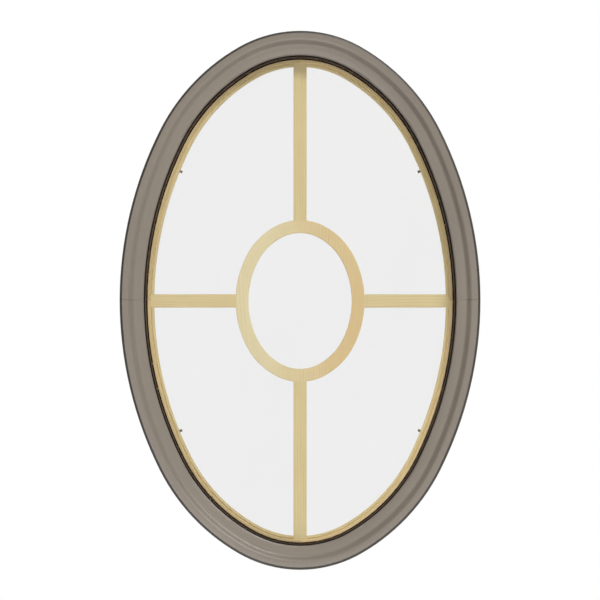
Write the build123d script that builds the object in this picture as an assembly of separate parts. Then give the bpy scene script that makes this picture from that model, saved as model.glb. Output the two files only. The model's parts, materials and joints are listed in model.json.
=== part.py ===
from build123d import *
import math
import os

# ---------------------------------------------------------------------------
# Fixed oval window, wood frame clad in aluminium outside, with a wood grille.
# Millimetres. +X right (seen from outside), +Z up, +Y towards the room.
# Origin: centre of the oval, in the plane of the wall's outer face, which is
# the back of the cladding flange.
# Every ring follows one outer oval. A section point is (d, y): d is the
# distance inwards from that oval, y the depth.
# ---------------------------------------------------------------------------

# ----- driving dimensions ---------------------------------------------------
WIDTH = 610.0            # overall
HEIGHT = 912.0
END_R = 208.2            # radius of the top and bottom arcs of the outer oval
END_T = 60.35            # normal angle where end arc meets shoulder arc
SIDE_T = 26.59           # normal angle where shoulder arc meets side arc

SKIN = 1.8               # cladding wall
FLANGE = 12.2            # width of the flange that lies on the wall
CLAD_GAP = 0.02          # half the hairline gap at 3 and 9 o'clock, in degrees
FACE_IN = 40.5           # lip of the cladding (sight line)
CLAD_FRONT = -32.6       # front of the outer bead
SEAT_Y = -12.0           # back of the cladding, where jamb and glass seat
LEG_BACK = 24.0          # leg along the jamb

JAMB_OUT = 14.0
JAMB_IN = 31.0
JAMB_BACK = 115.9        # 4-9/16 in behind the wall face
JAMB_JOINTS = (13.15, 52.0)   # normal angles of the jamb joints in each quadrant

GLASS_EDGE = 33.0
LITE = 3.0
GAP = 12.0               # space between the lites
TAPE = 1.5
GLASS_Y0 = SEAT_Y + TAPE                 # outer face of outer lite
GLASS_Y1 = GLASS_Y0 + LITE
GLASS_Y2 = GLASS_Y1 + GAP
GLASS_Y3 = GLASS_Y2 + LITE               # inner face of inner lite
SPACER_IN = 44.4
SPACER_H = 5.5

INNER_TAPE_IN = 46.4
STOP_Y0 = GLASS_Y3 + 1.0
STOP_Y1 = 27.0
STOP_IN = 50.6
LIP_IN = 51.8            # lip of the stop that the grille rests against

GRILLE_Y0 = 11.0
GRILLE_Y1 = 27.0
SURR_OUT = 50.9
SURR_IN = 57.6
BAR_W = 22.2
BAR_TOP = 8.6            # flat on the room side of a bar

RING_A = 109.4           # centre ring, outer half axes
RING_B = 137.2
RING_END_R = 88.1
RING_END_T = 62.15
RING_SIDE_T = 27.23
RING_W = 21.8

PIN_T = 22.2             # normal angle of the pull pins
PIN_Y = 19.0
PIN_R = 1.35
PIN_FIT = 0.05
PIN_DEPTH = 8.0          # into the stop
KNOB_R = 2.35
KNOB_L = 4.5

FIX_Y = 71.0             # fixing holes through the jamb
FIX_R = 2.5
FIX_T = (0.0, 26.3, 90.0, 153.7, 180.0, 206.3, 270.0, 333.7)

SCREW_Y = 12.0
SCREW_T = (7.0, 33.0, 76.0, 104.0, 147.0, 173.0, 187.0, 213.0, 256.0, 284.0, 327.0, 353.0)
BRAD_Y = 20.5
BRAD_R = 0.7
BRAD_T = (9.0, 41.0, 80.0)


# ----- the oval: eight tangent arcs -----------------------------------------
class Oval:
    def __init__(self, a, b, r1, t1, t2):
        c1, s1 = math.cos(math.radians(t1)), math.sin(math.radians(t1))
        c2, s2 = math.cos(math.radians(t2)), math.sin(math.radians(t2))
        m11, m12, v1 = c2 - c1, 1.0 - c2, a - r1 * c1
        m21, m22, v2 = s2 - s1, -s2, -(b - r1) - r1 * s1
        det = m11 * m22 - m12 * m21
        r2 = (v1 * m22 - m12 * v2) / det
        r3 = (m11 * v2 - m21 * v1) / det
        k1 = (0.0, b - r1)
        k2 = (k1[0] - (r2 - r1) * c1, k1[1] - (r2 - r1) * s1)
        k3 = (a - r3, 0.0)
        self.arcs = [
            (-t2, t2, k3, r3),
            (t2, t1, k2, r2),
            (t1, 180 - t1, k1, r1),
            (180 - t1, 180 - t2, (-k2[0], k2[1]), r2),
            (180 - t2, 180 + t2, (-k3[0], 0.0), r3),
            (180 + t2, 180 + t1, (-k2[0], -k2[1]), r2),
            (180 + t1, 360 - t1, (k1[0], -k1[1]), r1),
            (360 - t1, 360 - t2, (k2[0], -k2[1]), r2),
        ]

    def at(self, t):
        t = (t + 180.0) % 360.0 - 180.0
        for lo, hi, c, r in self.arcs:
            for s in (0.0, -360.0, 360.0):
                if lo - 1e-9 <= t + s <= hi + 1e-9:
                    return c, r
        raise ValueError(t)

    def point(self, t, d=0.0, y=0.0):
        c, r = self.at(t)
        w = math.radians(t)
        return (c[0] + (r - d) * math.cos(w), y, c[1] + (r - d) * math.sin(w))

    def spans(self, t0, t1):
        out = []
        for turn in (-360.0, 0.0, 360.0):
            for lo, hi, c, r in self.arcs:
                a, b = max(t0, lo + turn), min(t1, hi + turn)
                if b - a > 1e-6:
                    out.append((a, b, c, r))
        return sorted(out)

    def face(self, d, y):
        edges = []
        for lo, hi, c, r in self.arcs:
            p = []
            for t in (lo, (lo + hi) / 2, hi):
                w = math.radians(t)
                p.append((c[0] + (r - d) * math.cos(w), y, c[1] + (r - d) * math.sin(w)))
            edges.append(Edge.make_three_point_arc(*p))
        return Face(Wire(edges))

    def disc(self, d, y0, y1):
        return extrude(self.face(d, y0), amount=y1 - y0, dir=(0, 1, 0))

    def sweep(self, section, t0, t1, holes=()):
        # a section ring from normal angle t0 to t1
        solids = []
        for a, b, c, r in self.spans(t0, t1):
            w = math.radians(a)

            def place(p):
                return (c[0] + (r - p[0]) * math.cos(w), p[1], c[1] + (r - p[0]) * math.sin(w))

            def wire(segments):
                edges = []
                for seg in segments:
                    q = [place(p) for p in seg]
                    edges.append(Edge.make_line(*q) if len(q) == 2 else Edge.make_three_point_arc(*q))
                return Wire(edges)

            face = Face(wire(section), [wire(h) for h in holes])
            solids.append(revolve(face, Axis((c[0], 0, c[1]), (0, -1, 0)), b - a))
        body = solids[0]
        if len(solids) > 1:
            body = body.fuse(*solids[1:])
        return body


OUTER = Oval(WIDTH / 2, HEIGHT / 2, END_R, END_T, SIDE_T)
RING = Oval(RING_A, RING_B, RING_END_R, RING_END_T, RING_SIDE_T)


def loop(*items):
    # points joined by lines; ("arc", mid) between two points makes an arc
    pts = list(items) + [items[0]]
    segs = []
    i = 0
    while i < len(pts) - 1:
        nxt = pts[i + 1]
        if isinstance(nxt[0], str):
            segs.append((pts[i], nxt[1], pts[i + 2]))
            i += 2
        else:
            segs.append((pts[i], nxt))
            i += 1
    return segs


def rect(d0, d1, y0, y1):
    return loop((d0, y0), (d1, y0), (d1, y1), (d0, y1))


def arc(mid):
    return ("arc", mid)


def solids_of(shape):
    return list(shape.solids())


def one(shape):
    s = solids_of(shape)
    assert len(s) == 1, len(s)
    return s[0]


def group(solids):
    return Compound(children=[s for s in solids])


def radial(oval, t, d0, d1, y, r):
    # cylinder along the oval's normal at t, from depth d0 to d1
    p = oval.point(t, d0, y)
    w = math.radians(t)
    ax = (-math.cos(w), 0, -math.sin(w))
    pl = Plane(origin=p, z_dir=ax)
    return pl * Cylinder(r, d1 - d0, align=(Align.CENTER, Align.CENTER, Align.MIN))


def radial_cone(oval, t, d0, d1, y, r0, r1):
    p = oval.point(t, d0, y)
    w = math.radians(t)
    pl = Plane(origin=p, z_dir=(-math.cos(w), 0, -math.sin(w)))
    return pl * Cone(r0, r1, d1 - d0, align=(Align.CENTER, Align.CENTER, Align.MIN))


def radial_box(oval, t, d0, d1, y0, y1, length):
    # box with one side along the normal, one along y, one along the tangent
    p = oval.point(t, (d0 + d1) / 2, (y0 + y1) / 2)
    w = math.radians(t)
    pl = Plane(origin=p, x_dir=(-math.cos(w), 0, -math.sin(w)), z_dir=(-math.sin(w), 0, math.cos(w)))
    return pl * Box(d1 - d0, y1 - y0, length)


NODES = {}


# ----- aluminium cladding: hollow extrusion, two halves ---------------------
front = [
    (0.0, 0.0), (0.0, -27.2), arc((0.75, -29.9)), (2.4, -31.9), arc((3.2, -32.3)), (4.2, -32.5),
    arc((8.2, CLAD_FRONT)), (12.8, -32.4), arc((15.4, -31.75)), (17.2, -30.3),
    (21.2, -26.2), arc((23.0, -25.1)), (25.8, -24.7),
    arc((31.5, -24.3)), (37.6, -23.2),
    arc((39.65, -22.25)), (FACE_IN, -20.3), (FACE_IN, SEAT_Y),
]
clad_outer = loop(*front, (JAMB_OUT, SEAT_Y), (JAMB_OUT, LEG_BACK), (FLANGE, LEG_BACK), (FLANGE, 0.0))
clad_core = loop(
    (SKIN, -SKIN), (SKIN, -27.2), arc((2.45, -29.3)), (3.6, -30.5),
    arc((7.8, -30.8)), (12.2, -30.6), arc((14.3, -30.1)), (15.9, -29.05),
    (19.9, -24.95), arc((22.0, -23.5)), (25.4, -22.95),
    arc((31.3, -22.5)), (37.2, -21.4),
    arc((38.3, -20.95)), (FACE_IN - SKIN, -20.1), (FACE_IN - SKIN, SEAT_Y - SKIN),
    (JAMB_OUT - SKIN, SEAT_Y - SKIN), (JAMB_OUT - SKIN, -SKIN),
)


def leg_holes(t):
    return radial(OUTER, t, FLANGE - 2, JAMB_OUT + 2, SCREW_Y, 2.3)


def half_clad(t0, t1):
    body = OUTER.sweep(clad_outer, t0, t1, holes=[clad_core])
    for t in SCREW_T:
        if t0 < t < t1:
            body = body - leg_holes(t)
    return one(body)


NODES["cladding_upper"] = half_clad(CLAD_GAP, 180.0 - CLAD_GAP)
NODES["cladding_lower"] = half_clad(180.0 + CLAD_GAP, 360.0 - CLAD_GAP)

# keys that slide into the hollow across the joints at 3 and 9 o'clock
key = loop(
    (24.2, -14.1), (24.2, -21.5), arc((24.45, -22.1)), (25.2, -22.35), arc((30.5, -22.05)), (36.8, -21.1),
    arc((37.9, -20.7)), (38.4, -19.8), (38.4, -14.1),
)
key_core = rect(26.2, 36.4, -19.8, -16.1)
NODES["splice_key_right"] = one(OUTER.sweep(key, -3.0, 3.0, holes=[key_core]))
NODES["splice_key_left"] = one(OUTER.sweep(key, 177.0, 183.0, holes=[key_core]))

# pan-head screws through the leg into the jamb
screws = []
for t in SCREW_T:
    shank = radial(OUTER, t, FLANGE - 0.6, 27.0, SCREW_Y, 1.9)
    tip = radial_cone(OUTER, t, 27.0, 29.5, SCREW_Y, 1.9, 0.3)
    head = radial_cone(OUTER, t, FLANGE - 2.6, FLANGE - 0.25, SCREW_Y, 2.9, 3.9)
    slot = radial_box(OUTER, t, FLANGE - 3.2, FLANGE - 1.5, SCREW_Y - 0.5, SCREW_Y + 0.5, 4.4)
    slot2 = radial_box(OUTER, t, FLANGE - 3.2, FLANGE - 1.5, SCREW_Y - 2.2, SCREW_Y + 2.2, 1.0)
    screws.append(one((shank + tip + head) - slot - slot2))
NODES["cladding_screws"] = group(screws)

# ----- wood jamb: eight glued segments with loose tongues -------------------
jamb_sec = loop(
    (JAMB_OUT, SEAT_Y), (JAMB_IN, SEAT_Y), (JAMB_IN, JAMB_BACK - 1.6), arc((JAMB_IN - 0.47, JAMB_BACK - 0.47)),
    (JAMB_IN - 1.6, JAMB_BACK), (JAMB_OUT + 0.8, JAMB_BACK), (JAMB_OUT, JAMB_BACK - 0.8),
)
JA, JB = JAMB_JOINTS
JOINTS = (JA, JB, 180 - JB, 180 - JA, 180 + JA, 180 + JB, 360 - JB, 360 - JA)
tongue_cut = [radial_box(OUTER, t, 20.4, 24.6, 32.0, 92.0, 26.4) for t in JOINTS]
NODES["jamb_splines"] = group([radial_box(OUTER, t, 20.5, 24.5, 32.2, 91.8, 25.6).solids()[0] for t in JOINTS])

for name, t0, t1 in (
    ("jamb_right", -JA, JA), ("jamb_upper_right", JA, JB), ("jamb_top", JB, 180 - JB),
    ("jamb_upper_left", 180 - JB, 180 - JA), ("jamb_left", 180 - JA, 180 + JA),
    ("jamb_lower_left", 180 + JA, 180 + JB), ("jamb_bottom", 180 + JB, 360 - JB),
    ("jamb_lower_right", 360 - JB, 360 - JA),
):
    body = OUTER.sweep(jamb_sec, t0, t1)
    tools = list(tongue_cut)
    for t in SCREW_T:
        tools += [radial(OUTER, t, JAMB_OUT - 1, 27.02, SCREW_Y, 1.92), radial_cone(OUTER, t, 27.0, 29.52, SCREW_Y, 1.92, 0.32)]
    for t in FIX_T:
        tools += [radial(OUTER, t, JAMB_OUT - 2, JAMB_IN + 2, FIX_Y, FIX_R),
                  radial_cone(OUTER, t, JAMB_IN - 2.8, JAMB_IN + 0.6, FIX_Y, FIX_R, FIX_R + 3.2)]
    for s in BRAD_T:
        for t in (s, 180 - s, 180 + s, 360 - s):
            tools.append(radial(OUTER, t, 19.9, JAMB_IN + 2, BRAD_Y, BRAD_R + 0.02))
    keep = []
    for tool in tools:
        bb, tb = body.bounding_box(), tool.bounding_box()
        if (tb.min.X < bb.max.X and tb.max.X > bb.min.X and tb.min.Z < bb.max.Z and tb.max.Z > bb.min.Z):
            keep.append(tool)
    NODES[name] = one(body.cut(*keep))

# ----- insulating glass ------------------------------------------------------
NODES["exterior_lite"] = one(OUTER.disc(GLASS_EDGE, GLASS_Y0, GLASS_Y1))
NODES["interior_lite"] = one(OUTER.disc(GLASS_EDGE, GLASS_Y2, GLASS_Y3))

SP0 = SPACER_IN - SPACER_H
ym = (GLASS_Y1 + GLASS_Y2) / 2
sp_y0, sp_y1 = GLASS_Y1 + 0.3, GLASS_Y2 - 0.3
wall = 0.5
spacer_sec = loop(
    (SP0, sp_y0), (SPACER_IN, sp_y0), (SPACER_IN, ym - 0.4), (SPACER_IN - wall, ym - 0.4),
    (SPACER_IN - wall, sp_y0 + wall), (SP0 + wall, sp_y0 + wall), (SP0 + wall, sp_y1 - wall),
    (SPACER_IN - wall, sp_y1 - wall), (SPACER_IN - wall, ym + 0.4), (SPACER_IN, ym + 0.4),
    (SPACER_IN, sp_y1), (SP0, sp_y1),
)
NODES["glass_spacer"] = one(OUTER.sweep(spacer_sec, 0.0, 360.0))
NODES["desiccant"] = one(OUTER.sweep(rect(SP0 + 0.6, SPACER_IN - 1.4, sp_y0 + 0.6, sp_y1 - 0.6), 0.0, 360.0))
sealant_sec = loop(
    (GLASS_EDGE + 0.5, GLASS_Y1), (SP0 + 3.4, GLASS_Y1), (SP0 + 3.4, sp_y0), (SP0, sp_y0),
    (SP0, sp_y1), (SP0 + 3.4, sp_y1), (SP0 + 3.4, GLASS_Y2), (GLASS_EDGE + 0.5, GLASS_Y2),
)
NODES["glass_edge_sealant"] = one(OUTER.sweep(sealant_sec, 0.0, 360.0))
ext_seal = loop(
    (GLASS_EDGE + 0.6, SEAT_Y), (FACE_IN, SEAT_Y), (FACE_IN, SEAT_Y - 2.0), arc((FACE_IN + 1.5, SEAT_Y - 0.6)),
    (FACE_IN + 2.3, GLASS_Y0), (GLASS_EDGE + 0.6, GLASS_Y0),
)
NODES["exterior_glazing_seal"] = one(OUTER.sweep(ext_seal, 0.0, 360.0))
NODES["interior_glazing_tape"] = one(OUTER.sweep(rect(GLASS_EDGE + 2.0, INNER_TAPE_IN, GLASS_Y3, STOP_Y0), 0.0, 360.0))

blocks = []
for t in (242.0, 298.0):
    blocks.append(one(OUTER.sweep(rect(JAMB_IN, GLASS_EDGE, GLASS_Y0 + 0.5, GLASS_Y3 - 0.5), t - 9.0, t + 9.0)))
NODES["setting_blocks"] = group(blocks)

# ----- glazing stops: four segments, nailed ---------------------------------
stop_sec = loop(
    (JAMB_IN, STOP_Y0), (LIP_IN - 1.7, STOP_Y0), (LIP_IN, STOP_Y0 + 1.7), (LIP_IN, GRILLE_Y0),
    (STOP_IN, GRILLE_Y0), (STOP_IN, STOP_Y1 - 2.0),
    arc((STOP_IN - 0.6, STOP_Y1 - 0.6)), (STOP_IN - 2.0, STOP_Y1), (JAMB_IN + 7.0, STOP_Y1),
    arc((JAMB_IN + 3.2, STOP_Y1 - 1.2)), (JAMB_IN + 1.2, STOP_Y1 - 4.6), (JAMB_IN, STOP_Y1 - 4.6),
)
PINS = {
    "upper_right": PIN_T, "upper_left": 180 - PIN_T,
    "lower_left": 180 + PIN_T, "lower_right": 360 - PIN_T,
}
FER_R = 2.1
FER_IN = STOP_IN
FER_OUT = STOP_IN - 9.0
ferrules = []
brads = []
for i, name in enumerate(("upper_right", "upper_left", "lower_left", "lower_right")):
    t0 = 90.0 * i
    body = OUTER.sweep(stop_sec, t0, t0 + 90.0)
    tp = PINS[name]
    tools = [radial(OUTER, tp, FER_OUT, STOP_IN + 2, PIN_Y, FER_R)]
    for s in BRAD_T:
        t = t0 + s if i % 2 == 0 else t0 + 90.0 - s
        tools.append(radial(OUTER, t, JAMB_IN - 2, STOP_IN + 2, BRAD_Y, BRAD_R + 0.02))
        brads.append(radial(OUTER, t, 20.0, STOP_IN - 0.6, BRAD_Y, BRAD_R).solids()[0])
    NODES["stop_" + name] = one(body.cut(*tools))
    sleeve = radial(OUTER, tp, FER_OUT, FER_IN - 0.1, PIN_Y, FER_R)
    sleeve = sleeve - radial(OUTER, tp, FER_OUT + 0.6, FER_IN + 1, PIN_Y, PIN_R + PIN_FIT)
    ferrules.append(one(sleeve))
NODES["stop_brads"] = group(brads)
NODES["pin_ferrules"] = group(ferrules)

# ----- grille ---------------------------------------------------------------
# bar section: (across, y); flat face with eased edges towards the glass,
# ovolo on both sides towards the room
H = BAR_W / 2
T = BAR_TOP / 2


def bar_section(half, top, y0=GRILLE_Y0, y1=GRILLE_Y1):
    q = y1 - 8.6
    return [
        ((-half + 0.8, y0), (half - 0.8, y0)),
        ((half - 0.8, y0), (half, y0 + 0.8)),
        ((half, y0 + 0.8), (half, q)),
        ((half, q), (half - 1.2, q)),
        ((half - 1.2, q), ((half - 1.2 + top) / 2 + 1.5, (q + y1 - 1.0) / 2 + 1.5), (top, y1 - 1.0)),
        ((top, y1 - 1.0), (top, y1)),
        ((top, y1), (-top, y1)),
        ((-top, y1), (-top, y1 - 1.0)),
        ((-top, y1 - 1.0), (-(half - 1.2 + top) / 2 - 1.5, (q + y1 - 1.0) / 2 + 1.5), (-half + 1.2, q)),
        ((-half + 1.2, q), (-half, q)),
        ((-half, q), (-half, y0 + 0.8)),
        ((-half, y0 + 0.8), (-half + 0.8, y0)),
    ]


def prism(section, vertical, s0, s1):
    edges = []
    for seg in section:
        q = [((u, y, s0) if vertical else (s0, y, u)) for u, y in seg]
        edges.append(Edge.make_line(*q) if len(q) == 2 else Edge.make_three_point_arc(*q))
    f = Face(Wire(edges))
    return extrude(f, amount=s1 - s0, dir=(0, 0, 1) if vertical else (1, 0, 0))


ring_sec = [tuple((RING_W / 2 + u, y) for u, y in seg) for seg in bar_section(RING_W / 2, T)]
DOWEL_X = 5.4
DOWEL_R = 2.5
DOWEL_Y = 18.0
dowel_solids, dowel_cuts = [], []
zc, xc = RING_B, RING_A
for sx in (-DOWEL_X, DOWEL_X):
    for sgn in (1, -1):
        for vert in (True, False):
            base = (zc if vert else xc) * sgn
            pos = (sx, DOWEL_Y, base) if vert else (base, DOWEL_Y, sx)
            rot = (0, 0, 0) if vert else (0, 90, 0)
            loc = Location(pos, rot)
            dowel_solids.append((loc * Cylinder(DOWEL_R, 20.0)).solids()[0])
            dowel_cuts.append(loc * Cylinder(DOWEL_R + 0.02, 20.6))
NODES["ring_dowels"] = group(dowel_solids)

ring_raw = {"ring_right": RING.sweep(ring_sec, -90.0, 90.0), "ring_left": RING.sweep(ring_sec, 90.0, 270.0)}
for name, body in ring_raw.items():
    NODES[name] = one(body.cut(*dowel_cuts))

clip_disc = OUTER.disc(SURR_OUT, GRILLE_Y0 - 5, GRILLE_Y1 + 5)
mid_disc = RING.disc(RING_W / 2, GRILLE_Y0 - 5, GRILLE_Y1 + 5)
rings = list(ring_raw.values())
sec = bar_section(H, T)
bars = {
    "bar_top": prism(sec, True, 60.0, 430.0), "bar_bottom": prism(sec, True, -430.0, -60.0),
    "bar_right": prism(sec, False, 40.0, 290.0), "bar_left": prism(sec, False, -290.0, -40.0),
}
for name, raw in bars.items():
    body = raw.intersect(clip_disc)
    if isinstance(body, ShapeList):
        body = body[0]
    body = body.cut(mid_disc, *rings, *dowel_cuts)
    parts = sorted(solids_of(body), key=lambda s: -s.volume)
    NODES[name] = parts[0]

surr_sec = loop(
    (SURR_OUT, GRILLE_Y0), (LIP_IN - 0.4, GRILLE_Y0), (LIP_IN - 0.4, GRILLE_Y0 + 1.8), (LIP_IN + 1.0, GRILLE_Y0 + 1.8),
    (LIP_IN + 1.6, GRILLE_Y0), (SURR_IN - 0.8, GRILLE_Y0), (SURR_IN, GRILLE_Y0 + 0.8), (SURR_IN, GRILLE_Y1 - 2.4),
    arc((SURR_IN - 0.7, GRILLE_Y1 - 0.7)), (SURR_IN - 2.4, GRILLE_Y1), (SURR_OUT, GRILLE_Y1),
)
ym_g = (GRILLE_Y0 + GRILLE_Y1) / 2
bar_env = [Location((0, ym_g, 375)) * Box(BAR_W, 30, 150), Location((0, ym_g, -375)) * Box(BAR_W, 30, 150),
           Location((240, ym_g, 0)) * Box(120, 30, BAR_W), Location((-240, ym_g, 0)) * Box(120, 30, BAR_W)]
for i, name in enumerate(("upper_right", "upper_left", "lower_left", "lower_right")):
    t0 = 90.0 * i
    body = OUTER.sweep(surr_sec, t0, t0 + 90.0)
    body = body.cut(radial(OUTER, PINS[name], SURR_OUT - 2, SURR_IN + 2, PIN_Y, PIN_R + PIN_FIT), *bar_env)
    parts = sorted(solids_of(body), key=lambda s: -s.volume)
    NODES["surround_" + name] = parts[0]

# ----- pull pins ------------------------------------------------------------
for name, t in PINS.items():
    k0 = SURR_IN + 0.15
    shank = radial(OUTER, t, STOP_IN - PIN_DEPTH + 1.2, k0 + 0.5, PIN_Y, PIN_R)
    nose = radial_cone(OUTER, t, STOP_IN - PIN_DEPTH, STOP_IN - PIN_DEPTH + 1.2, PIN_Y, 0.6, PIN_R)
    collar = radial(OUTER, t, k0, k0 + 1.0, PIN_Y, KNOB_R)
    neck = radial(OUTER, t, k0 + 0.9, k0 + 2.1, PIN_Y, 1.55)
    knob = radial(OUTER, t, k0 + 2.0, k0 + KNOB_L - 0.6, PIN_Y, KNOB_R)
    cap = radial_cone(OUTER, t, k0 + KNOB_L - 0.6, k0 + KNOB_L, PIN_Y, KNOB_R, KNOB_R - 0.6)
    NODES["pull_pin_" + name] = one(shank + nose + collar + neck + knob + cap)

os.makedirs("parts", exist_ok=True)
for name, shape in NODES.items():
    export_step(shape, os.path.join("parts", name + ".step"))
    print(name, len(shape.solids()), round(shape.volume / 1000.0, 2), "cm3")
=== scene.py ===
import json
import math
import bpy
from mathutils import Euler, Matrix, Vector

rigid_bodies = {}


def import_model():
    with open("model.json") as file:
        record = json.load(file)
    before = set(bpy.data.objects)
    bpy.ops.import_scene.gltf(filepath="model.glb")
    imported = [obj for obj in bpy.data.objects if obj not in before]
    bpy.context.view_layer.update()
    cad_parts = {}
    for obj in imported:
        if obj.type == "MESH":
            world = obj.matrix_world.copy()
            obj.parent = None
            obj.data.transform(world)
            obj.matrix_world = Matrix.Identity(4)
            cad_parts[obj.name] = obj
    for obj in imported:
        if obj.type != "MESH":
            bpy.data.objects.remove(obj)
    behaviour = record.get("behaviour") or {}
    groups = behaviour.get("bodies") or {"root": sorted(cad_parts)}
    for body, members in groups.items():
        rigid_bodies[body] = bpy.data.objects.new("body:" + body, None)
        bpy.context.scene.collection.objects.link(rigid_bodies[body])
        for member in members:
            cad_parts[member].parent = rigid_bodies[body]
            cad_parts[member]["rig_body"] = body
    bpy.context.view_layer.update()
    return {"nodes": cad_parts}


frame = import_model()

scene = bpy.context.scene
for o in list(scene.objects):
    if o.type in ("LIGHT", "CAMERA") or (o.type == "MESH" and "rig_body" not in o):
        bpy.data.objects.remove(o)
N = frame["nodes"]


# ---------------------------------------------------------------- helpers
def srgb(r, g, b):
    def f(v):
        v = v / 255.0
        return v / 12.92 if v <= 0.04045 else ((v + 0.055) / 1.055) ** 2.4
    return (f(r), f(g), f(b), 1.0)


class Tree:
    def __init__(self, name):
        self.mat = bpy.data.materials.new(name)
        self.mat.use_nodes = True
        self.t = self.mat.node_tree
        self.t.nodes.clear()
        self.out = self.t.nodes.new("ShaderNodeOutputMaterial")

    def n(self, kind, **kw):
        node = self.t.nodes.new(kind)
        for k, v in kw.items():
            if k in node.inputs.keys() if hasattr(node.inputs, "keys") else False:
                node.inputs[k].default_value = v
            else:
                setattr(node, k, v)
        return node

    def link(self, a, b):
        self.t.links.new(a, b)

    def ramp(self, fac, stops, mode="LINEAR"):
        r = self.t.nodes.new("ShaderNodeValToRGB")
        r.color_ramp.interpolation = mode
        el = r.color_ramp.elements
        while len(el) > 1:
            el.remove(el[-1])
        el[0].position, el[0].color = stops[0]
        for p, c in stops[1:]:
            e = el.new(p)
            e.color = c
        self.link(fac, r.inputs["Fac"])
        return r.outputs["Color"]

    def math(self, op, a, b=None, c=None, clamp=False):
        m = self.t.nodes.new("ShaderNodeMath")
        m.operation = op
        m.use_clamp = clamp
        for i, v in enumerate((a, b, c)):
            if v is None:
                continue
            if isinstance(v, (int, float)):
                m.inputs[i].default_value = v
            else:
                self.link(v, m.inputs[i])
        return m.outputs[0]

    def mix(self, fac, a, b, blend="MIX"):
        m = self.t.nodes.new("ShaderNodeMix")
        m.data_type = "RGBA"
        m.blend_type = blend
        for sock, v in ((m.inputs[0], fac), (m.inputs[6], a), (m.inputs[7], b)):
            if isinstance(v, (int, float, tuple)):
                sock.default_value = v
            else:
                self.link(v, sock)
        return m.outputs[2]

    def noise(self, vec, scale, detail=4.0, rough=0.5, distortion=0.0):
        t = self.t.nodes.new("ShaderNodeTexNoise")
        t.inputs["Scale"].default_value = scale
        t.inputs["Detail"].default_value = detail
        t.inputs["Roughness"].default_value = rough
        t.inputs["Distortion"].default_value = distortion
        self.link(vec, t.inputs["Vector"])
        return t.outputs["Fac"]

    def mapping(self, vec, loc=(0, 0, 0), rot=(0, 0, 0), scale=(1, 1, 1)):
        m = self.t.nodes.new("ShaderNodeMapping")
        m.inputs["Location"].default_value = loc
        m.inputs["Rotation"].default_value = rot
        m.inputs["Scale"].default_value = scale
        self.link(vec, m.inputs["Vector"])
        return m.outputs["Vector"]

    def coords(self):
        tc = self.t.nodes.new("ShaderNodeTexCoord")
        tc.name = "coords"
        return tc.outputs["Object"]

    def bump(self, height, strength, distance, normal=None):
        b = self.t.nodes.new("ShaderNodeBump")
        b.inputs["Strength"].default_value = strength
        b.inputs["Distance"].default_value = distance
        self.link(height, b.inputs["Height"])
        if normal is not None:
            self.link(normal, b.inputs["Normal"])
        return b.outputs["Normal"]

    def principled(self, **kw):
        p = self.t.nodes.new("ShaderNodeBsdfPrincipled")
        for k, v in kw.items():
            if isinstance(v, (int, float, tuple)):
                p.inputs[k].default_value = v
            else:
                self.link(v, p.inputs[k])
        self.link(p.outputs["BSDF"], self.out.inputs["Surface"])
        return p


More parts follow.
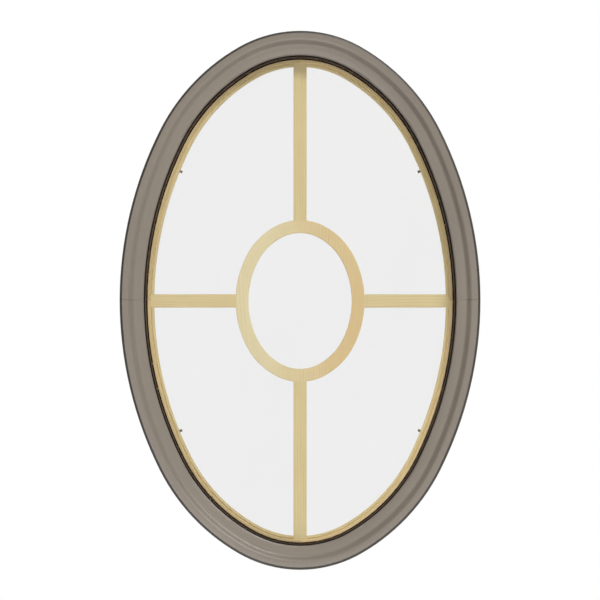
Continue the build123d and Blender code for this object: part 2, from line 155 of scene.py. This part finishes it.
# ---------------------------------------------------------------- materials
def wood(name, grain_rot, seed, pale, mid, dark, tint=(1, 1, 1, 1), ring_gap=0.0042, rough=0.5, right=None):
    """Pine. grain_rot turns the row frame so that the grain runs along local Z.
    right is a second (pale, mid, dark, tint) that takes over slowly towards +X."""
    m = Tree(name)
    v = m.mapping(m.coords(), rot=grain_rot)
    v = m.mapping(v, loc=(0.137 * seed + 0.021, 0.071 * seed - 0.033, 0.31 * seed))
    # growth rings round a far pith, bent by slow noise
    slow = m.noise(m.mapping(v, scale=(1, 1, 0.12)), 7.0, 2.0, 0.5)
    wob = m.noise(m.mapping(v, scale=(1, 1, 0.05)), 60.0, 2.0, 0.5)
    sep = m.t.nodes.new("ShaderNodeSeparateXYZ")
    m.link(v, sep.inputs[0])
    x = m.math("ADD", sep.outputs["X"], 0.055)
    y = m.math("MULTIPLY", sep.outputs["Y"], 1.0)
    r = m.math("SQRT", m.math("ADD", m.math("MULTIPLY", x, x), m.math("MULTIPLY", y, y)))
    r = m.math("ADD", r, m.math("MULTIPLY", m.math("SUBTRACT", slow, 0.5), 0.05))
    r = m.math("ADD", r, m.math("MULTIPLY", m.math("SUBTRACT", wob, 0.5), 0.0016))
    saw = m.math("FRACT", m.math("DIVIDE", r, ring_gap))
    ring = m.math("POWER", saw, 3.0)
    ring = m.math("MULTIPLY", ring, m.math("SUBTRACT", 1.0, m.math("POWER", saw, 24.0)))
    fibre = m.noise(m.mapping(v, scale=(1, 1, 0.018)), 900.0, 3.0, 0.6)
    fibre2 = m.noise(m.mapping(v, scale=(1, 1, 0.03)), 260.0, 4.0, 0.6)
    cloud = m.noise(m.mapping(v, scale=(1, 1, 0.25)), 14.0, 2.0, 0.5)
    fac = m.math("ADD", m.math("MULTIPLY", ring, 0.62), m.math("MULTIPLY", m.math("SUBTRACT", fibre2, 0.5), 0.55), clamp=True)
    col = m.ramp(fac, [(0.0, pale), (0.45, mid), (1.0, dark)])
    if right:
        place = m.t.nodes.new("ShaderNodeSeparateXYZ")
        m.link(m.t.nodes["coords"].outputs["Object"], place.inputs[0])
        across = m.math("ADD", m.math("MULTIPLY", place.outputs["X"], 9.0), 0.5, clamp=True)
        other = m.ramp(fac, [(0.0, right[0]), (0.45, right[1]), (1.0, right[2])])
        col = m.mix(across, col, other)
        tint = m.mix(across, tint, right[3])
    col = m.mix(m.math("MULTIPLY", m.math("SUBTRACT", cloud, 0.42), 1.1, clamp=True), col, tint, "MULTIPLY")
    if not right:
        col = m.mix(m.math("MULTIPLY", m.math("SUBTRACT", fibre, 0.45), 0.30, clamp=True), col, mid)
    rg = m.math("ADD", m.math("MULTIPLY", fibre2, 0.18), rough - 0.09)
    h = m.math("ADD", m.math("MULTIPLY", fibre, 0.5), m.math("MULTIPLY", ring, 0.35))
    nrm = m.bump(h, 0.35, 0.00025)
    m.principled(**{"Base Color": col, "Roughness": rg, "Normal": nrm, "IOR": 1.45})
    return m.mat


def paint(name, base, seed=0.0):
    m = Tree(name)
    v = m.coords()
    big = m.noise(v, 5.0, 2.0, 0.5)
    fine = m.noise(v, 420.0, 3.0, 0.6)
    peel = m.noise(v, 900.0, 1.0, 0.4)
    speck = m.noise(v, 2600.0, 0.0, 0.5)
    lo = tuple(c * 0.93 for c in base[:3]) + (1.0,)
    hi = tuple(min(1.0, c * 1.05) for c in base[:3]) + (1.0,)
    col = m.ramp(big, [(0.3, lo), (0.7, hi)])
    col = m.mix(m.math("MULTIPLY", m.math("SUBTRACT", fine, 0.35), 0.16, clamp=True), col, lo, "MULTIPLY")
    flake = m.math("GREATER_THAN", speck, 0.70)
    col = m.mix(m.math("MULTIPLY", flake, 0.10), col, tuple(c * 0.6 for c in base[:3]) + (1.0,))
    # painted shade: the rolled outer edge is darkened to about an eighth of the base colour, and the ogee cove
    # slightly, both mottled by noise
    vm = m.t.nodes.new("ShaderNodeVectorMath")
    vm.operation = "MULTIPLY"
    vm.inputs[1].default_value = (1 / 0.305 ** 2, 0.0, 1 / 0.456 ** 2)
    m.link(v, vm.inputs[0])
    nz = m.t.nodes.new("ShaderNodeVectorMath")
    nz.operation = "NORMALIZE"
    m.link(vm.outputs[0], nz.inputs[0])
    dt = m.t.nodes.new("ShaderNodeVectorMath")
    dt.operation = "DOT_PRODUCT"
    m.link(nz.outputs[0], dt.inputs[0])
    m.link(m.t.nodes["coords"].outputs["Normal"], dt.inputs[1])
    side = dt.outputs["Value"]
    rim_painted_shade = m.ramp(side, [(0.0, (0, 0, 0, 1)), (0.05, (0, 0, 0, 1)), (0.22, (1, 1, 1, 1)), (0.96, (1, 1, 1, 1)), (0.99, (0, 0, 0, 1))])
    cove_painted_shade = m.ramp(m.math("MULTIPLY", side, -1.0), [(0.0, (0, 0, 0, 1)), (0.15, (0, 0, 0, 1)), (0.6, (1, 1, 1, 1)), (0.93, (1, 1, 1, 1)), (0.98, (0, 0, 0, 1))])
    shade_mottle = m.math("ADD", m.math("MULTIPLY", fine, 0.5), 0.62)
    # painted shade along the rolled outer edge, pulled towards an eighth of the base colour
    col = m.mix(m.math("MULTIPLY", rim_painted_shade, shade_mottle), col, tuple(c * 0.12 for c in base[:3]) + (1.0,))
    # painted shade on inward-facing slopes (the ogee cove and the lip's inner rounding), a slight darkening
    # towards 0.40 of the base colour
    col = m.mix(m.math("MULTIPLY", cove_painted_shade, m.math("MULTIPLY", shade_mottle, 0.08)), col, tuple(c * 0.40 for c in base[:3]) + (1.0,))
    rg = m.math("ADD", m.math("MULTIPLY", fine, 0.12), 0.38)
    nrm = m.bump(peel, 0.12, 0.0002)
    m.principled(**{"Base Color": col, "Roughness": rg, "Normal": nrm, "IOR": 1.5})
    return m.mat


def rubber(name, base, rough=0.55):
    m = Tree(name)
    v = m.coords()
    n1 = m.noise(v, 300.0, 3.0, 0.6)
    n2 = m.noise(v, 1800.0, 2.0, 0.6)
    lo = tuple(c * 0.7 for c in base[:3]) + (1.0,)
    hi = tuple(min(1.0, c * 1.5) for c in base[:3]) + (1.0,)
    col = m.ramp(n1, [(0.3, lo), (0.75, hi)])
    rg = m.math("ADD", m.math("MULTIPLY", n1, 0.25), rough - 0.12)
    m.principled(**{"Base Color": col, "Roughness": rg, "Normal": m.bump(n2, 0.25, 0.0002), "IOR": 1.5, "Specular IOR Level": 0.1})
    return m.mat


def metal(name, base, rough=0.35, streak=(1, 1, 1)):
    m = Tree(name)
    v = m.mapping(m.coords(), scale=streak)
    n1 = m.noise(v, 500.0, 4.0, 0.6)
    n2 = m.noise(m.coords(), 40.0, 3.0, 0.5)
    lo = tuple(c * 0.82 for c in base[:3]) + (1.0,)
    col = m.ramp(n2, [(0.3, lo), (0.7, base)])
    rg = m.math("ADD", m.math("MULTIPLY", n1, 0.22), rough - 0.1)
    m.principled(**{"Base Color": col, "Metallic": 1.0, "Roughness": rg, "Normal": m.bump(n1, 0.15, 0.0001)})
    return m.mat


def glass(name, tint):
    m = Tree(name)
    v = m.coords()
    wave = m.noise(v, 3.0, 1.0, 0.4)
    smear = m.noise(m.mapping(v, scale=(1, 1, 0.6)), 9.0, 3.0, 0.6)
    gl = m.n("ShaderNodeBsdfGlossy")
    gl.inputs["Color"].default_value = (1, 1, 1, 1)
    m.link(m.math("MULTIPLY", smear, 0.03), gl.inputs["Roughness"])
    m.link(m.bump(wave, 0.03, 0.002), gl.inputs["Normal"])
    tr = m.n("ShaderNodeBsdfTransparent")
    m.link(m.ramp(smear, [(0.35, tint), (0.65, tuple(c * 0.996 for c in tint[:3]) + (1.0,))]), tr.inputs["Color"])
    fr = m.n("ShaderNodeFresnel")
    fr.inputs["IOR"].default_value = 1.22
    mx = m.n("ShaderNodeMixShader")
    m.link(fr.outputs[0], mx.inputs[0])
    m.link(tr.outputs[0], mx.inputs[1])
    m.link(gl.outputs[0], mx.inputs[2])
    m.link(mx.outputs[0], m.out.inputs["Surface"])
    return m.mat


TAUPE = srgb(118, 109, 98)
PALE, MID, DARK = srgb(236, 218, 167), srgb(227, 202, 144), srgb(201, 161, 95)
WARM = (1.0, 0.97, 0.90, 1.0)
ORANGE = (1.0, 0.86, 0.74, 1.0)
RING = (srgb(244, 231, 188), srgb(237, 219, 169), srgb(217, 187, 125), (1.0, 0.95, 0.88, 1.0))
RING_R = (srgb(238, 215, 163), srgb(230, 199, 141), srgb(207, 160, 98), ORANGE)

clad = paint("clad_paint", TAUPE)
D = math.radians
ROT_Z = (0, 0, 0)              # grain along Z
ROT_X = (0, D(90), 0)          # grain along X


def rot_xz(angle):
    """Grain in the XZ plane at that angle from Z towards X."""
    return (0, D(-angle), 0)


assign = {
    "cladding_upper": clad, "cladding_lower": clad,
    "exterior_lite": glass("glass_outer", (0.9715, 0.9715, 0.9712, 1.0)),
    "interior_lite": glass("glass_inner", (0.9715, 0.9715, 0.9712, 1.0)),
    "exterior_glazing_seal": rubber("seal_black", srgb(11, 8, 7), 0.55),
    "interior_glazing_tape": rubber("tape_black", srgb(16, 9, 5), 0.7),
    "glass_edge_sealant": rubber("sealant_black", srgb(18, 16, 15), 0.6),
    "setting_blocks": rubber("block_rubber", srgb(40, 40, 40), 0.7),
    "glass_spacer": metal("spacer_bronze", srgb(104, 84, 68), 0.55),
    "splice_key_left": metal("key_alu", srgb(200, 200, 202), 0.35),
    "splice_key_right": metal("key_alu_b", srgb(200, 200, 202), 0.35),
    "cladding_screws": metal("zinc", srgb(196, 198, 196), 0.3),
    "stop_brads": metal("brad_steel", srgb(150, 150, 152), 0.35),
    "pin_ferrules": metal("ferrule_brass", srgb(190, 150, 82), 0.35),
    "desiccant": rubber("desiccant_beads", srgb(190, 184, 170), 0.9),
    "jamb_splines": wood("beech_tongue", ROT_Z, 3.1, srgb(222, 196, 158), srgb(205, 172, 130), srgb(180, 140, 98)),
    "ring_dowels": wood("beech_dowel", ROT_Z, 7.7, srgb(222, 196, 158), srgb(205, 172, 130), srgb(180, 140, 98)),
    "bar_top": wood("pine_bar_top", ROT_Z, 1.3, PALE, MID, DARK, WARM),
    "bar_bottom": wood("pine_bar_bottom", ROT_Z, 2.9, PALE, MID, DARK, WARM),
    "bar_left": wood("pine_bar_left", ROT_X, 4.1, PALE, MID, DARK, WARM),
    "bar_right": wood("pine_bar_right", ROT_X, 5.6, PALE, MID, DARK, WARM),
    "ring_left": wood("pine_ring_left", rot_xz(-4), 6.4, *RING, right=RING_R),
    "ring_right": wood("pine_ring_right", rot_xz(3), 8.2, *RING, right=RING_R),
}
quad = {"upper_right": -24, "upper_left": 24, "lower_left": -24, "lower_right": 24}
for i, (q, a) in enumerate(quad.items()):
    # painted light: the lower-right stop gets a brighter palette and the upper-left stop is dimmed (0.93),
    # standing in for how the light falls into the recess
    k = {"upper_right": 0.98, "upper_left": 0.93, "lower_left": 0.99, "lower_right": 1.0}[q]
    stop = ((252, 226, 172), (246, 212, 150), (222, 175, 104)) if q == "lower_right" else ((236, 212, 160), (226, 196, 137), (200, 156, 90))
    assign["stop_" + q] = wood("pine_stop_" + q, rot_xz(a), 10.3 + 1.7 * i, *[srgb(*(c * k for c in w)) for w in stop], WARM)
    # painted light: surrounds on the right are brightened (1.03) and those on the left dimmed (0.98)
    assign["surround_" + q] = wood("pine_surround_" + q, rot_xz(a), 20.9 + 2.3 * i, *[srgb(*(c * (1.03 if "right" in q else 0.98) for c in w)) for w in ((236, 218, 167), (227, 202, 144), (201, 161, 95))], WARM)
jambs = {"right": 0, "upper_right": -32, "top": 90, "upper_left": 32, "left": 0, "lower_left": -32, "bottom": 90, "lower_right": 32}
for i, (q, a) in enumerate(jambs.items()):
    assign["jamb_" + q] = wood("pine_jamb_" + q, rot_xz(a), 31.7 + 1.9 * i, PALE, MID, DARK, WARM)
pin = rubber("pin_plastic", srgb(140, 124, 108), 0.45)
for q in quad:
    assign["pull_pin_" + q] = pin

for name, obj in N.items():
    obj.data.materials.clear()
    obj.data.materials.append(assign[name])

# ---------------------------------------------------------------- floor
bpy.ops.mesh.primitive_plane_add(size=400, location=(0, 0, -1.9))
floor = bpy.context.object
floor.name = "floor"
fm = Tree("floor_pale")
fv = fm.coords()
# seen by the eye the far floor stays pale; it casts no extra light
fl = fm.n("ShaderNodeLightPath")
fm.principled(**{"Emission Color": (1, 1, 1, 1), "Emission Strength": fm.math("MULTIPLY", fl.outputs["Is Camera Ray"], 0.25), "Base Color": fm.ramp(fm.noise(fv, 2.0, 3.0, 0.5), [(0.3, (0.86, 0.86, 0.86, 1)), (0.7, (0.88, 0.88, 0.88, 1))]), "Roughness": 0.8})
floor.data.materials.append(fm.mat)

# ---------------------------------------------------------------- light
ROOM_LEVEL = 0.31
ROOM_SLOPE = (0.03, 0.24, 0.08)
world = bpy.data.worlds.new("studio")
scene.world = world
world.use_nodes = True
wt = world.node_tree
wt.nodes.clear()
wo = wt.nodes.new("ShaderNodeOutputWorld")
seen = wt.nodes.new("ShaderNodeBackground")
seen.inputs["Color"].default_value = (1, 1, 1, 1)
seen.inputs["Strength"].default_value = 1.0
# light from the room: level per direction, softer in front, fuller from behind and a little from above
lit = wt.nodes.new("ShaderNodeBackground")
lit.inputs["Color"].default_value = (1, 1, 1, 1)
tc = wt.nodes.new("ShaderNodeTexCoord")
vm = wt.nodes.new("ShaderNodeVectorMath")
vm.operation = "DOT_PRODUCT"
vm.inputs[1].default_value = ROOM_SLOPE
wt.links.new(tc.outputs["Generated"], vm.inputs[0])
ad = wt.nodes.new("ShaderNodeMath")
ad.operation = "ADD"
ad.inputs[1].default_value = ROOM_LEVEL
wt.links.new(vm.outputs["Value"], ad.inputs[0])
mx = wt.nodes.new("ShaderNodeMath")
mx.operation = "MAXIMUM"
mx.inputs[1].default_value = 0.05
wt.links.new(ad.outputs[0], mx.inputs[0])
wt.links.new(mx.outputs[0], lit.inputs["Strength"])
lp = wt.nodes.new("ShaderNodeLightPath")
ms = wt.nodes.new("ShaderNodeMixShader")
wt.links.new(lp.outputs["Is Camera Ray"], ms.inputs[0])
wt.links.new(lit.outputs[0], ms.inputs[1])
wt.links.new(seen.outputs[0], ms.inputs[2])
wt.links.new(ms.outputs[0], wo.inputs[0])


def area(name, loc, target, size, power, color=(1, 1, 1)):
    l = bpy.data.lights.new(name, "AREA")
    l.shape = "SQUARE"
    l.size = size
    l.energy = power
    l.color = color
    o = bpy.data.objects.new(name, l)
    scene.collection.objects.link(o)
    o.location = loc
    o.rotation_mode = "QUATERNION"
    o.rotation_quaternion = (Vector(target) - Vector(loc)).to_track_quat("-Z", "Y")
    return o


area("key", (5.2, -9.0, 9.7), (0, 0, 0), 3.6, 1720)
area("fill", (-0.4, -3.2, -1.0), (0, 0, 0), 0.9, 38)

# ---------------------------------------------------------------- camera
cam_d = bpy.data.cameras.new("cam")
cam = bpy.data.objects.new("cam", cam_d)
scene.collection.objects.link(cam)
scene.camera = cam
DIST, EL, AZ = 12.0, -2.5, 0.0
MM_PX = 1.690
cam_d.sensor_width = 36.0
cam_d.lens = 36.0 * DIST / (600 * MM_PX / 1000)
e, a = D(EL), D(AZ)
back = Vector((math.sin(a) * math.cos(e), -math.cos(a) * math.cos(e), math.sin(e)))
aim = Vector((-0.0001, -0.03, -0.0004))
cam.location = aim + back * DIST
cam.rotation_mode = "QUATERNION"
cam.rotation_quaternion = (-back).to_track_quat("-Z", "Y")
cam_d.clip_start, cam_d.clip_end = 0.5, 500.0

scene.view_settings.view_transform = "Standard"
scene.view_settings.look = "None"
scene.view_settings.exposure = 0.0
